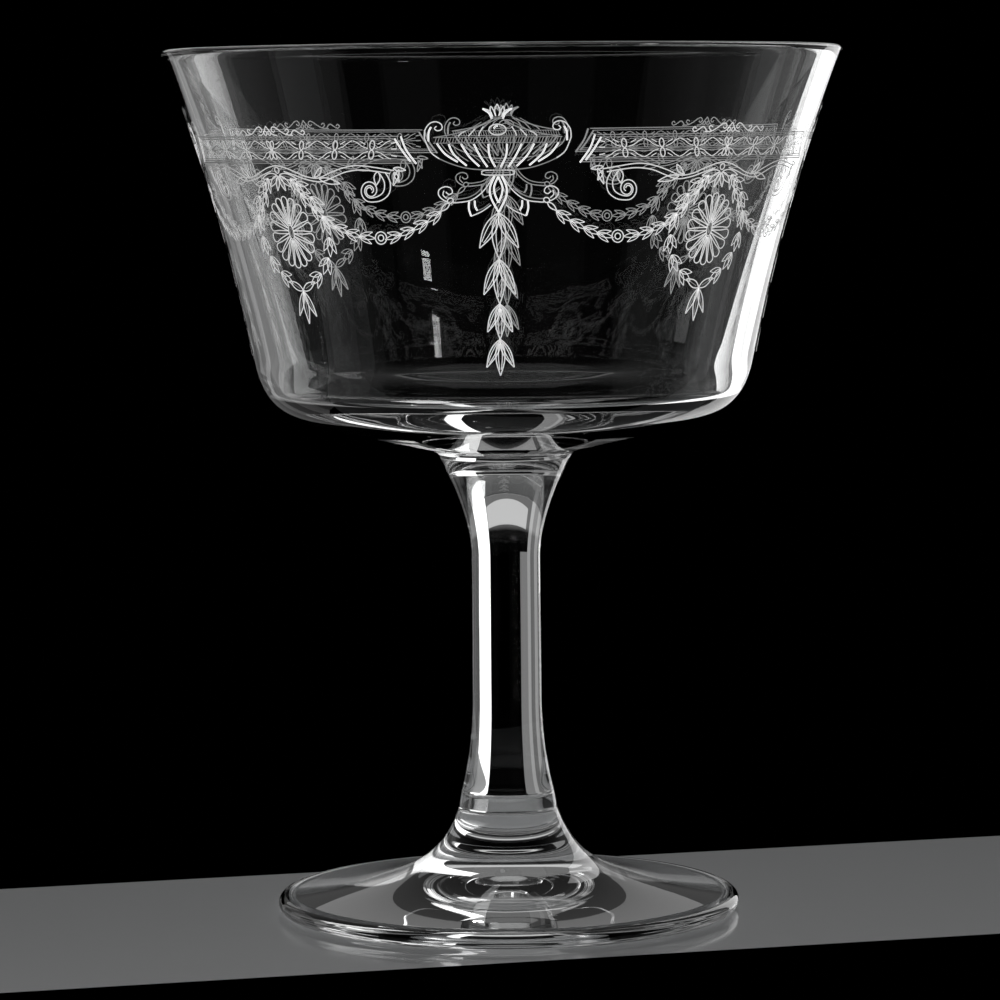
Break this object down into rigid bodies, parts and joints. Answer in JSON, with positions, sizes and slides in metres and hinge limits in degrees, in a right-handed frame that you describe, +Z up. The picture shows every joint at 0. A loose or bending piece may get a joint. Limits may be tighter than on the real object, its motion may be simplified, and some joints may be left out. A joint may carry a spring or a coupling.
{
  "type": "champagne saucer glass",
  "caption": "Clear glass champagne saucer with a broad flared bowl, a thick base, a slender round stem and a wide foot, etched with a neoclassical frieze.",
  "frame": {"origin": "centre of the ring that the foot stands on", "axes": "+Z up along the stem's axis; -Y is the side with the front urn of the frieze"},
  "size_m": [0.0976, 0.0976, 0.125],
  "materials": {
    "clear_glass": "polished clear glass with fire-polished rim and foot edge",
    "etched_glass": "fine frosted white lines etched into the outside of the bowl"
  },
  "bodies": {
    "root": {"bowl": "clear_glass", "stem": "clear_glass", "foot": "clear_glass"}
  },
  "joints": []
}
